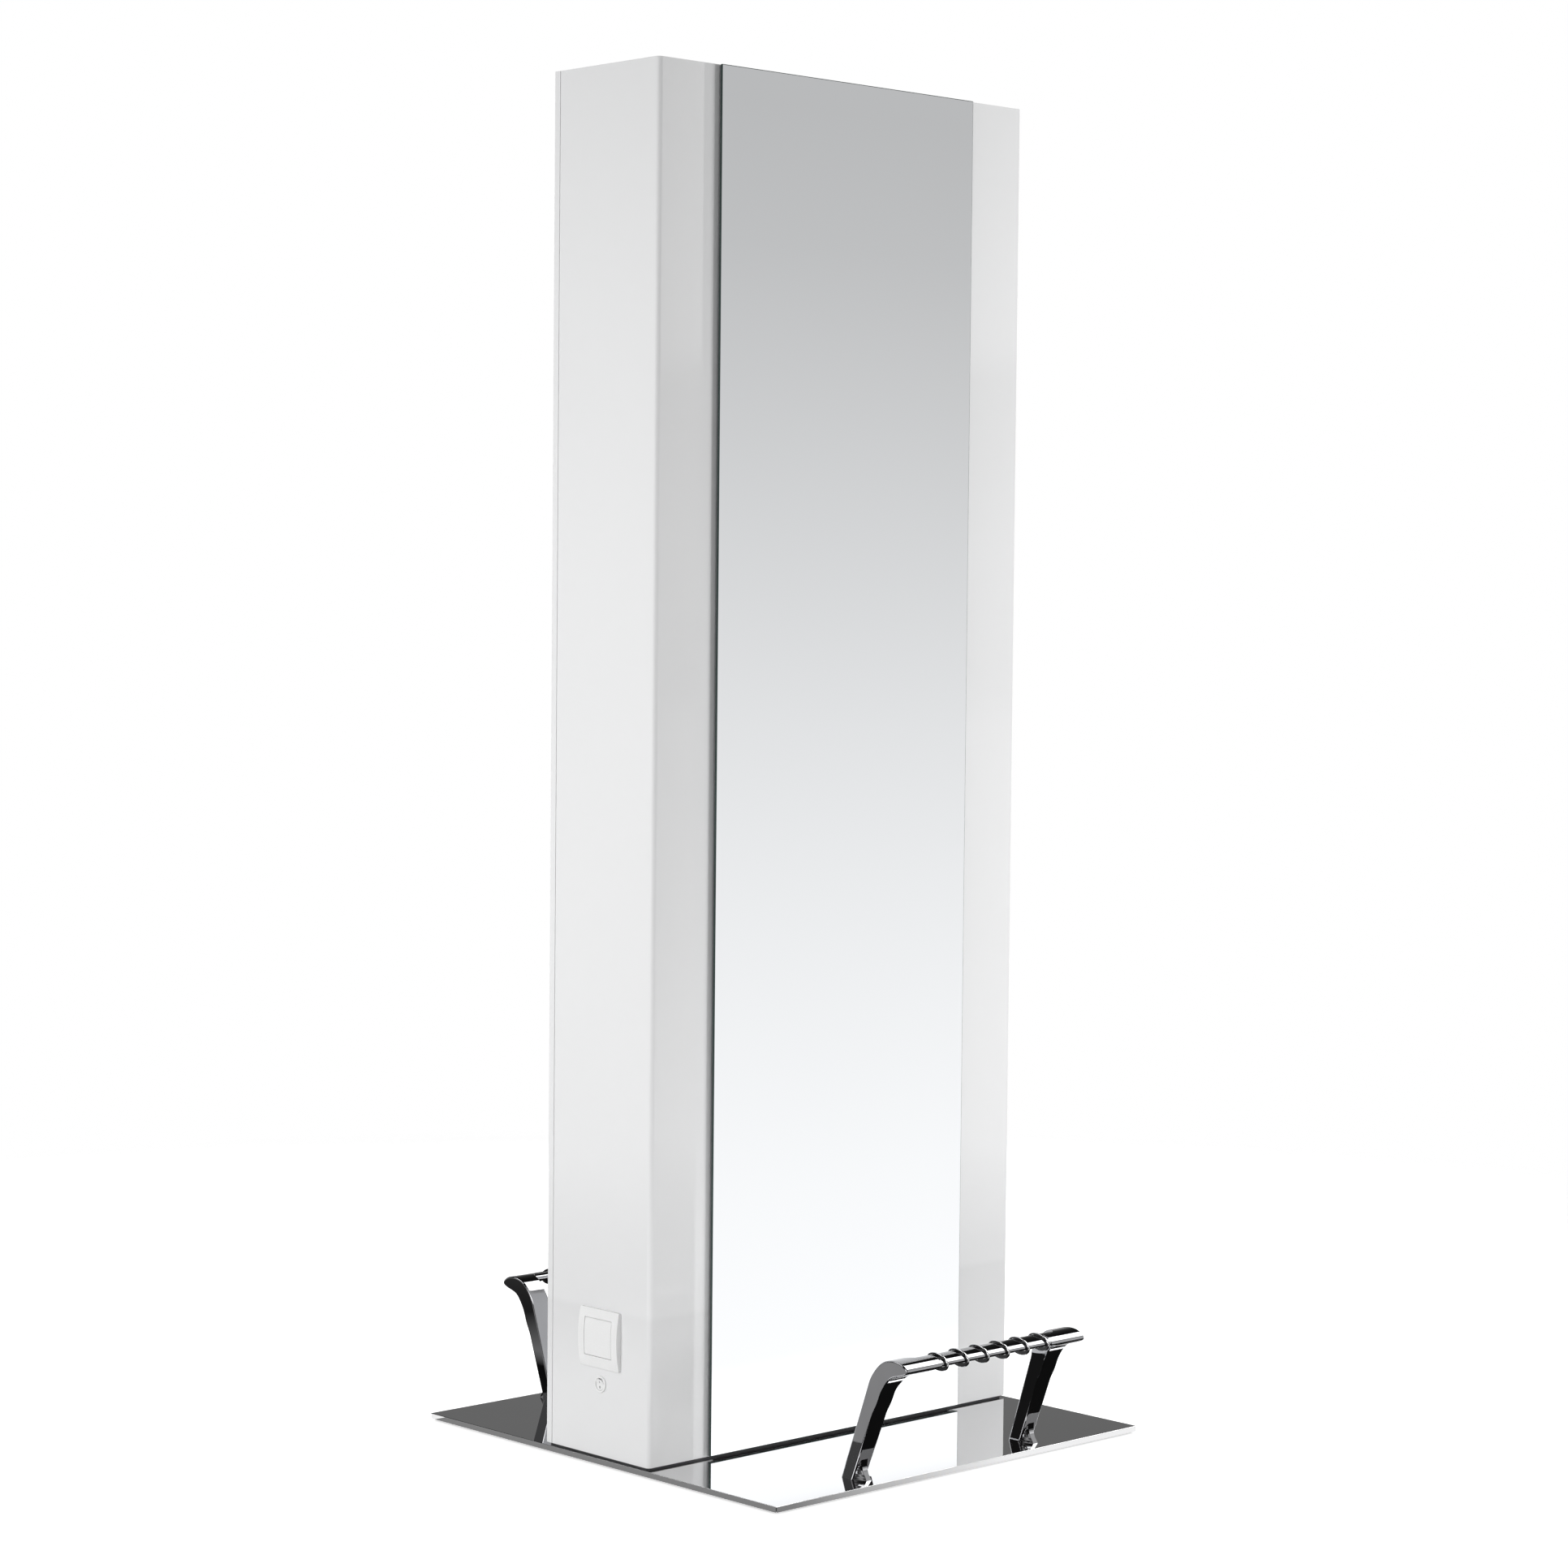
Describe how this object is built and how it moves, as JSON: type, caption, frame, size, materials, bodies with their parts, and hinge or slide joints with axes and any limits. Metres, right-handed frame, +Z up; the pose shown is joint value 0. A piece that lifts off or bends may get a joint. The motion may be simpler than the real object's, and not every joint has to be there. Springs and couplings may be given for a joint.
{
  "type": "salon styling station",
  "caption": "Two-sided styling tower with tall mirrors, opal light covers, a lidded power socket and light switch at each end, and a footrest on each side of a polished base plate.",
  "frame": {"origin": "on the floor, at the centre of the base plate", "axes": "+Z up, X along the tower, each mirror looks along Y"},
  "size_m": [0.756, 0.8924, 2.003],
  "materials": {
    "polished_steel": "mirror polished",
    "dark_steel": "black powder coat",
    "clear_rubber": "clear soft bumper",
    "zinc_steel": "zinc plated",
    "opal_cover": "opal acrylic, glossy",
    "mirror_glass": "silvered glass",
    "grey_board": "dark grey laminate",
    "white_sheet": "white enamel",
    "white_plastic": "moulded, satin gloss",
    "lamp_glass": "white coated tube",
    "grey_plastic": "moulded",
    "brass_contact": "bright",
    "black_rubber": "smooth, glossy",
    "lead_sheath": "smooth cable sheath",
    "dark_chrome": "polished chrome plate"
  },
  "bodies": {
    "station": {"base_skin": "polished_steel", "base_core": "dark_steel", "base_feet": "clear_rubber", "tower_bolts": "zinc_steel", "footrest_bolts": "zinc_steel", "bottom_frame": "dark_steel", "top_frame": "dark_steel", "uprights": "dark_steel", "tie_rails": "dark_steel", "mirror_rails": "dark_steel", "board_screws": "zinc_steel", "top_cap": "opal_cover", "mirror_front": "mirror_glass", "mirror_rear": "mirror_glass", "mirror_board_front": "grey_board", "mirror_board_rear": "grey_board", "end_cover_left": "opal_cover", "end_cover_right": "opal_cover", "side_strip_rear": "opal_cover", "side_strip_front": "opal_cover", "seam_battens": "opal_cover", "reflectors": "white_sheet", "lamp_shelves": "white_sheet", "lamp_battens": "white_sheet", "ballasts": "zinc_steel", "lampholders": "white_plastic", "lamp_tube_left": "lamp_glass", "lamp_tube_right": "lamp_glass", "socket_frame_left": "white_plastic", "socket_frame_right": "white_plastic", "socket_insert_left": "white_plastic", "socket_insert_right": "white_plastic", "socket_bridges": "zinc_steel", "bridge_screws": "zinc_steel", "lid_pins": "zinc_steel", "lid_springs": "zinc_steel", "back_boxes": "grey_plastic", "contact_blocks": "grey_plastic", "socket_contacts": "brass_contact", "earth_clips": "brass_contact", "switch_body_left": "white_plastic", "switch_body_right": "white_plastic", "junction_box": "grey_plastic", "junction_lid": "grey_plastic", "terminal_block": "grey_plastic", "cable_grommet": "black_rubber", "internal_leads": "lead_sheath", "lead_clips": "grey_plastic", "footrest_leg_front_right": "dark_chrome", "footrest_leg_rear_left": "dark_chrome", "footrest_leg_front_left": "dark_chrome", "footrest_leg_rear_right": "dark_chrome", "footrest_bar_front": "dark_chrome", "footrest_bar_rear": "dark_chrome", "footrest_rings_front": "black_rubber", "footrest_rings_rear": "black_rubber"},
    "lid_left": {"socket_lid_left": "white_plastic"},
    "lid_right": {"socket_lid_right": "white_plastic"},
    "rocker_left": {"switch_rocker_left": "white_plastic"},
    "rocker_right": {"switch_rocker_right": "white_plastic"}
  },
  "joints": [
    {"name": "lid_left_hinge", "type": "hinge", "parent": "station", "child": "lid_left", "pos_m": [-0.37366, -0.0095, 0.2112], "axis": [0, 1, 0], "range_deg": [0, 95], "stiffness_Nm_per_rad": 0.004, "springref_deg": -28.65},
    {"name": "lid_right_hinge", "type": "hinge", "parent": "station", "child": "lid_right", "pos_m": [0.37366, 0.0095, 0.2112], "axis": [0, -1, 0], "range_deg": [0, 95], "stiffness_Nm_per_rad": 0.004, "springref_deg": -28.65},
    {"name": "rocker_left_tilt", "type": "hinge", "parent": "station", "child": "rocker_left", "pos_m": [-0.3665, -0.008, 0.1185], "axis": [0, 1, 0], "range_deg": [0, 12]},
    {"name": "rocker_right_tilt", "type": "hinge", "parent": "station", "child": "rocker_right", "pos_m": [0.3665, 0.008, 0.1185], "axis": [0, -1, 0], "range_deg": [0, 12]}
  ]
}
